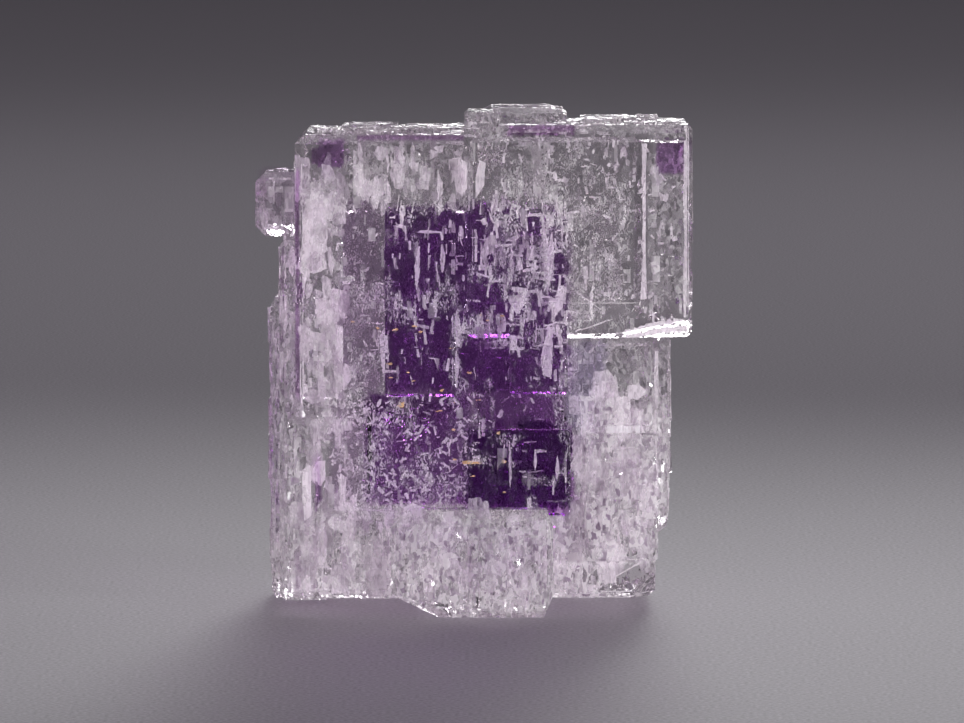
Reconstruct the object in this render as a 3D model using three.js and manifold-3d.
// A thumbnail fluorite specimen: intergrown cubes that grew as one piece of clear crystal.
// Millimetres, +Z up, the front faces -Y, the origin is the middle of the footprint.
// Each cube has low bevels along its edges, and its faces carry the stepped growth plates
// and small square pits that give fluorite its mosaic look.
import * as THREE from 'three';
import { ConvexGeometry } from 'three/addons/geometries/ConvexGeometry.js';
import { mergeVertices } from 'three/addons/utils/BufferGeometryUtils.js';
import Module from 'manifold-3d';

const wasm = await Module();
wasm.setup();

// Driving dimensions
const WIDTH = 21.36;
const HEIGHT = 24.7;
const FRONT = -7.0;
const BACK = 6.9;
const HALF_WIDTH = WIDTH / 2;
const TALL_TOP = 23.5;
const CUBE_TOP = 24.0;
const CUBE_FOOT = 13.6;
const CUBE_FRONT = -5.3;
const HANG = 0.7;          // how far the sides' undersides stay above the surface it rests on

// Growth relief
const SEED = 20417;
const PLATE_ROOT = 0.5;    // how deep a plate's body reaches below the face that carries it
const PLATE_TILT = 0.035;  // radians, the most that a plate leans
const PIT_DEPTH = [0.08, 0.2];
const PIT_ACROSS = 0.6;    // a pit's size as a share of its neighbouring plates'
const PIT_UP = 0.5;
const MOST_BURIED = 0.6;   // a pit whose cutter lies deeper than this share would be a sealed hole
const FACE_MARGIN = 0.25;  // plates and pits stay this far inside a face
const MOST_OF_FACE = 0.9;  // the largest plate, as a share of the face that carries it

const CUTTER_SIZE = 24;    // edge of the cube that cuts a cleavage, larger than any block

// Every block is [low, high] along each axis. bevel is the inset of its edges at the low and high end.
// A crown makes one face smaller still: its insets apply at the face, and the block's sides start
// drop behind it, so that the block slopes away all round. A cleavage is a flat break through at,
// which takes off what lies outward of it.
const blocks = {
  tall_block: {
    x: [-8.7, 0.6], y: [-5.0, 5.0], z: [HANG + 0.05, TALL_TOP],
    bevel: { x: [0.5, 0.4], y: [0.35, 0.5], z: [0.35, 0.45] },
  },
  outer_ledge: {
    x: [-9.95, -7.5], y: [-2.7, 4.4], z: [0.5, 15.4],
    bevel: { x: [0.22, 0.2], y: [0.3, 0.3], z: [0.3, 0.4] },
  },
  inner_ledge: {
    x: [-9.5, -7.0], y: [-4.4, 3.6], z: [0.6, 18.3],
    bevel: { x: [0.25, 0.2], y: [0.3, 0.3], z: [0.3, 0.35] },
  },
  upper_cube: {
    x: [-0.4, HALF_WIDTH], y: [CUBE_FRONT, 2.4], z: [CUBE_FOOT, CUBE_TOP],
    bevel: { x: [0.4, 0.22], y: [0.25, 0.3], z: [0.2, 0.2] },
    cleavage: { at: [6.0, CUBE_FRONT, CUBE_FOOT], outward: [0.15, -0.66, -0.74] },
  },
  raised_face: {
    x: [-0.3, 8.4], y: [CUBE_FRONT - 0.75, -4.0], z: [15.3, 23.5],
    bevel: { x: [0.3, 0.6], y: [0.6, 0.2], z: [0.12, 0.3] },
  },
  top_band: {
    x: [1.6, 10.35], y: [CUBE_FRONT - 0.3, -4.0], z: [23.15, 23.85],
    bevel: { x: [0.2, 0.2], y: [0.2, 0.1], z: [0.15, 0.2] },
  },
  white_wedge: {
    x: [2.3, 6.3], y: [CUBE_FRONT - 0.35, -4.0], z: [13.75, 15.0],
    bevel: { x: [0.3, 0.9], y: [0.3, 0.1], z: [0.1, 0.4] },
  },
  lower_block: {
    x: [-1.0, 9.5], y: [-4.6, 4.2], z: [3.9, 14.6],
    bevel: { x: [0.4, 0.5], y: [0.35, 0.4], z: [0.4, 0.4] },
  },
  lower_corner: {
    x: [-2.0, 8.95], y: [-4.3, 4.4], z: [HANG, 6.6],
    bevel: { x: [0.4, 0.3], y: [0.3, 0.4], z: [0.25, 0.3] },
    cleavage: { at: [8.05, -4.0, HANG + 0.3], outward: [1, -1, -1] },
  },
  foot: {
    x: [-4.0, 3.9], y: [FRONT + 0.25, -0.5], z: [0, 5.3],
    bevel: { x: [0.8, 0.3], y: [0.5, 0.4], z: [0.25, 0.9] },
    crown: { face: '-z', drop: 0.85, x: [2.35, 0.45], y: [0.5, 0.4] },
  },
  side_cube: {
    x: [-HALF_WIDTH, -8.0], y: [-3.6, -0.5], z: [18.45, 21.6],
    bevel: { x: [0.5, 0.2], y: [0.42, 0.42], z: [0.5, 0.5] },
  },
  left_strip: {
    x: [-8.45, -6.35], y: [-5.3, -4.0], z: [10.6, 20.9],
    bevel: { x: [0.12, 0.12], y: [0.1, 0.1], z: [0.12, 0.12] },
  },
  low_left_edge: {
    x: [-9.1, -7.6], y: [-5.15, -3.4], z: [1.0, 9.7],
    bevel: { x: [0.2, 0.12], y: [0.12, 0.1], z: [0.12, 0.12] },
  },
  low_left_pane: {
    x: [-7.75, -3.7], y: [-5.3, -4.0], z: [0.95, 5.1],
    bevel: { x: [0.12, 0.12], y: [0.1, 0.1], z: [0.3, 0.12] },
  },
  milky_pane: {
    x: [5.45, 9.05], y: [-5.05, -3.6], z: [2.6, 8.9],
    bevel: { x: [0.12, 0.25], y: [0.12, 0.1], z: [0.12, 0.12] },
  },
  high_right_pane: {
    x: [5.9, 8.75], y: [-4.95, -3.6], z: [9.25, 13.3],
    bevel: { x: [0.12, 0.15], y: [0.1, 0.1], z: [0.12, 0.12] },
  },
  stepped_pane: {
    x: [1.75, 4.6], y: [-5.75, -4.0], z: [10.9, 17.2],
    bevel: { x: [0.12, 0.12], y: [0.1, 0.1], z: [0.12, 0.12] },
  },
  purple_pane: {
    x: [-4.3, -0.85], y: [-5.4, -4.0], z: [10.75, 20.0],
    bevel: { x: [0.12, 0.12], y: [0.1, 0.1], z: [0.12, 0.12] },
  },
  dark_pane: {
    x: [-0.25, 4.75], y: [-5.35, -3.6], z: [4.9, 9.1],
    bevel: { x: [0.12, 0.12], y: [0.1, 0.1], z: [0.12, 0.12] },
  },
  streaked_pane: {
    x: [-6.3, -0.3], y: [-5.3, -4.0], z: [19.7, 23.2],
    bevel: { x: [0.15, 0.15], y: [0.1, 0.1], z: [0.12, 0.1] },
  },
  crest: {
    x: [0.4, 4.6], y: [-2.6, 2.2], z: [22.6, HEIGHT],
    bevel: { x: [0.5, 0.9], y: [0.4, 0.4], z: [0.2, 0.25] },
  },
  crest_knob: {
    x: [-0.45, 1.3], y: [-5.75, -1.6], z: [22.3, HEIGHT - 0.05],
    bevel: { x: [0.2, 0.3], y: [0.2, 0.3], z: [0.2, 0.2] },
  },
  back_slab: {
    x: [-7.5, 6.9], y: [1.5, 6.0], z: [0, 19.4],
    bevel: { x: [0.6, 0.6], y: [0.3, 0.45], z: [0.5, 0.6] },
  },
  back_cube: {
    x: [1.6, 8.7], y: [1.0, BACK], z: [5.6, 14.9],
    bevel: { x: [0.9, 0.9], y: [0.3, 0.35], z: [0.9, 0.9] },
  },
  back_tower: {
    x: [-8.3, -1.7], y: [1.5, 6.5], z: [8.8, 21.9],
    bevel: { x: [0.7, 0.6], y: [0.3, 0.35], z: [0.7, 0.6] },
  },
  back_stub: {
    x: [-5.2, -1.9], y: [3.5, 6.75], z: [1.3, 5.2],
    bevel: { x: [0.4, 0.4], y: [0.3, 0.35], z: [0.4, 0.4] },
  },
};

// Where relief grows: block, face, plates, pits, sizes across, sizes up, how far the plates stand out
const relief = [
  ['tall_block', '-y', 46, 14, [0.4, 1.7], [0.8, 3.8], [0.08, 0.34]],
  ['tall_block', '+z', 14, 3, [0.8, 3.4], [0.8, 3.0], [0.06, 0.3]],
  ['tall_block', '-x', 5, 0, [0.8, 2.4], [0.6, 1.5], [0.08, 0.22]],
  ['inner_ledge', '-x', 8, 0, [0.7, 2.2], [1.0, 4.0], [0.06, 0.16]],
  ['outer_ledge', '-x', 10, 3, [0.8, 2.4], [1.0, 3.6], [0.06, 0.16]],
  ['upper_cube', '-y', 8, 4, [0.6, 2.2], [0.6, 2.6], [0.04, 0.12]],
  ['raised_face', '-y', 22, 8, [0.4, 1.5], [0.6, 2.4], [0.05, 0.2]],
  ['upper_cube', '+x', 12, 4, [0.7, 2.4], [0.8, 3.0], [0.01, 0.03]],
  ['upper_cube', '+z', 10, 2, [1.0, 3.0], [0.8, 2.4], [0.06, 0.2]],
  ['lower_block', '-y', 20, 5, [0.5, 2.0], [0.7, 3.2], [0.08, 0.3]],
  ['lower_block', '+x', 14, 4, [0.8, 2.4], [0.9, 3.4], [0.06, 0.24]],
  ['lower_corner', '-y', 10, 2, [0.5, 1.6], [0.6, 2.2], [0.08, 0.26]],
  ['foot', '-y', 12, 1, [0.5, 1.3], [1.2, 3.4], [0.06, 0.24]],
  ['left_strip', '-y', 12, 2, [0.4, 1.2], [0.6, 2.8], [0.05, 0.2]],
  ['low_left_edge', '-y', 6, 1, [0.3, 0.8], [0.6, 2.4], [0.05, 0.16]],
  ['low_left_pane', '-y', 10, 2, [0.4, 1.4], [0.5, 1.9], [0.05, 0.2]],
  ['milky_pane', '-y', 10, 2, [0.4, 1.4], [0.6, 2.6], [0.05, 0.2]],
  ['high_right_pane', '-y', 6, 1, [0.4, 1.2], [0.5, 1.8], [0.05, 0.18]],
  ['stepped_pane', '-y', 12, 4, [0.3, 0.9], [0.5, 2.0], [0.05, 0.22]],
  ['purple_pane', '-y', 12, 4, [0.3, 1.0], [0.6, 2.4], [0.06, 0.24]],
  ['dark_pane', '-y', 9, 2, [0.3, 0.9], [0.5, 1.8], [0.06, 0.2]],
  ['streaked_pane', '-y', 12, 1, [0.3, 0.8], [1.0, 2.6], [0.06, 0.2]],
  ['crest', '+z', 5, 0, [0.8, 2.4], [0.8, 2.4], [0.01, 0.03]],
  ['back_slab', '+y', 20, 4, [0.7, 2.6], [0.8, 3.2], [0.06, 0.24]],
  ['back_slab', '+x', 6, 1, [0.7, 2.0], [0.8, 3.0], [0.06, 0.2]],
  ['back_cube', '+y', 12, 4, [0.6, 2.0], [0.6, 2.4], [0.01, 0.03]],
  ['back_cube', '+x', 6, 1, [0.7, 2.0], [0.8, 2.4], [0.06, 0.2]],
  ['back_tower', '+y', 18, 5, [0.6, 2.2], [0.8, 3.4], [0.06, 0.26]],
  ['back_tower', '-x', 6, 1, [0.6, 1.6], [0.8, 3.0], [0.04, 0.12]],
  ['back_stub', '+y', 4, 1, [0.5, 1.4], [0.5, 1.6], [0.0, 0.08]],
];

// A seeded random number from 0 to 1, the same on every run
function makeRandom(seed) {
  let state = seed >>> 0;
  return () => {
    state = (state + 0x6d2b79f5) >>> 0;
    let t = Math.imul(state ^ (state >>> 15), 1 | state);
    t = (t + Math.imul(t ^ (t >>> 7), 61 | t)) ^ t;
    return ((t ^ (t >>> 14)) >>> 0) / 4294967296;
  };
}

const random = makeRandom(SEED);
const between = (low, high) => low + (high - low) * random();

function toSolid(geometry) {
  geometry.deleteAttribute('normal');
  geometry.deleteAttribute('uv');
  const merged = mergeVertices(geometry, 1e-5);
  return new wasm.Manifold(new wasm.Mesh({
    numProp: 3,
    vertProperties: Float32Array.from(merged.attributes.position.array),
    triVerts: Uint32Array.from(merged.index.array),
  }));
}

// The corners of a face that stands drop above a block and is smaller by the crown's insets
function crownPoints(block, { face, drop, ...insets }) {
  const normal = face[1];
  const [first, second] = ['x', 'y', 'z'].filter((axis) => axis !== normal);
  const plane = block[normal][face[0] === '+' ? 1 : 0];
  const edge = (axis, end) => block[axis][end] + (end ? -1 : 1) * insets[axis][end];
  return [[0, 0], [0, 1], [1, 0], [1, 1]].map(([i, j]) => (
    new THREE.Vector3().copy({ [normal]: plane, [first]: edge(first, i), [second]: edge(second, j) })));
}

// What a cleavage takes off: a large cube on the outward side of the plane through at
function cleavageCutter({ at, outward }) {
  const cutter = new THREE.BoxGeometry(CUTTER_SIZE, CUTTER_SIZE, CUTTER_SIZE);
  cutter.translate(0, 0, CUTTER_SIZE / 2);
  const normal = new THREE.Vector3(...outward).normalize();
  cutter.applyQuaternion(new THREE.Quaternion().setFromUnitVectors(new THREE.Vector3(0, 0, 1), normal));
  cutter.translate(...at);
  return toSolid(cutter);
}

// A block with a low bevel along every edge and a small facet at every corner
function bevelledBlock(block) {
  const { bevel, crown, cleavage } = block;
  const box = { x: [...block.x], y: [...block.y], z: [...block.z] };
  const points = [];
  if (crown) {
    const end = crown.face[0] === '+' ? 1 : 0;
    box[crown.face[1]][end] += (end ? -1 : 1) * crown.drop;
    points.push(...crownPoints(block, crown));
  }
  const { x, y, z } = box;
  for (const i of [0, 1]) {
    for (const j of [0, 1]) {
      for (const k of [0, 1]) {
        const insetX = x[i] + (i ? -1 : 1) * bevel.x[i];
        const insetY = y[j] + (j ? -1 : 1) * bevel.y[j];
        const insetZ = z[k] + (k ? -1 : 1) * bevel.z[k];
        points.push(new THREE.Vector3(x[i], insetY, insetZ));
        points.push(new THREE.Vector3(insetX, y[j], insetZ));
        points.push(new THREE.Vector3(insetX, insetY, z[k]));
      }
    }
  }
  const solid = toSolid(new ConvexGeometry(points));
  return cleavage ? solid.subtract(cleavageCutter(cleavage)) : solid;
}

// The flat part of one face of a block: its plane, its outward sign and its extent across and up
function flatFace(block, face) {
  const sign = face[0] === '+' ? 1 : -1;
  const normal = face[1];
  const [across, up] = { x: ['y', 'z'], y: ['x', 'z'], z: ['x', 'y'] }[normal];
  const inset = block.crown?.face === face ? block.crown : block.bevel;
  const extent = (axis) => [
    block[axis][0] + inset[axis][0] + FACE_MARGIN,
    block[axis][1] - inset[axis][1] - FACE_MARGIN,
  ];
  const plane = block[normal][sign > 0 ? 1 : 0];
  return { sign, normal, across, up, plane, spans: [extent(across), extent(up)] };
}

// A box of the given size at a place on a face, standing out by rise above it and leaning a little
function tile(face, size, at, rise, root, tilt) {
  const sizes = { [face.across]: size[0], [face.up]: size[1], [face.normal]: rise + root };
  const geometry = new THREE.BoxGeometry(sizes.x, sizes.y, sizes.z);
  const middle = face.plane + (face.sign * (rise - root)) / 2;
  const place = { [face.across]: at[0], [face.up]: at[1], [face.normal]: middle };
  const lean = { [face.across]: between(-tilt, tilt), [face.up]: between(-tilt, tilt), [face.normal]: 0 };
  const turn = new THREE.Quaternion().setFromEuler(new THREE.Euler(lean.x, lean.y, lean.z));
  const matrix = new THREE.Matrix4().compose(
    new THREE.Vector3(place.x, place.y, place.z), turn, new THREE.Vector3(1, 1, 1));
  return toSolid(geometry.applyMatrix4(matrix));
}

// A random place and size for a tile that stays inside the face
function tileSpot(face, across, up) {
  const size = [across, up].map(([low, high], i) => {
    const room = face.spans[i][1] - face.spans[i][0];
    return Math.min(between(low, high), room * MOST_OF_FACE);
  });
  const at = face.spans.map(([low, high], i) => between(low + size[i] / 2, high - size[i] / 2));
  return { size, at };
}

// The raised plates and the pit cutters of one stretch of relief
function reliefTiles([block, name, plates, pits, across, up, rise]) {
  const face = flatFace(blocks[block], name);
  const raised = [];
  for (let i = 0; i < plates; i += 1) {
    const { size, at } = tileSpot(face, across, up);
    raised.push(tile(face, size, at, between(...rise), PLATE_ROOT, PLATE_TILT));
  }
  const sunk = [];
  for (let i = 0; i < pits; i += 1) {
    const { size, at } = tileSpot(face, across.map((v) => v * PIT_ACROSS), up.map((v) => v * PIT_UP));
    sunk.push(tile(face, size, at, PLATE_ROOT, between(...PIT_DEPTH), PLATE_TILT));
  }
  return { raised, sunk };
}

function toGeometry(solid) {
  const mesh = solid.getMesh();
  const geometry = new THREE.BufferGeometry();
  geometry.setAttribute('position', new THREE.BufferAttribute(mesh.vertProperties, 3));
  geometry.setIndex(new THREE.BufferAttribute(mesh.triVerts, 1));
  return geometry;
}

// Puts the origin in the middle of the footprint, at the height it rests on
function standOnOrigin(geometry) {
  geometry.computeBoundingBox();
  const { min, max } = geometry.boundingBox;
  return geometry.translate(-(min.x + max.x) / 2, -(min.y + max.y) / 2, -min.z);
}

function growCrystal() {
  const grown = wasm.Manifold.union(Object.values(blocks).map(bevelledBlock));
  const tiles = relief.map(reliefTiles);
  const raised = wasm.Manifold.union([grown, ...tiles.flatMap((t) => t.raised)]);
  const isOpen = (pit) => pit.intersect(raised).volume() < MOST_BURIED * pit.volume();
  const pits = tiles.flatMap((t) => t.sunk).filter(isOpen);
  return raised.subtract(wasm.Manifold.union(pits));
}

const crystal = new THREE.Mesh(
  standOnOrigin(toGeometry(growCrystal())),
  new THREE.MeshStandardMaterial({ color: 0xb7a6c6, roughness: 0.12, metalness: 0 }),
);
crystal.name = 'fluorite_crystal';

const specimen = new THREE.Group();
specimen.add(crystal);

export default specimen;
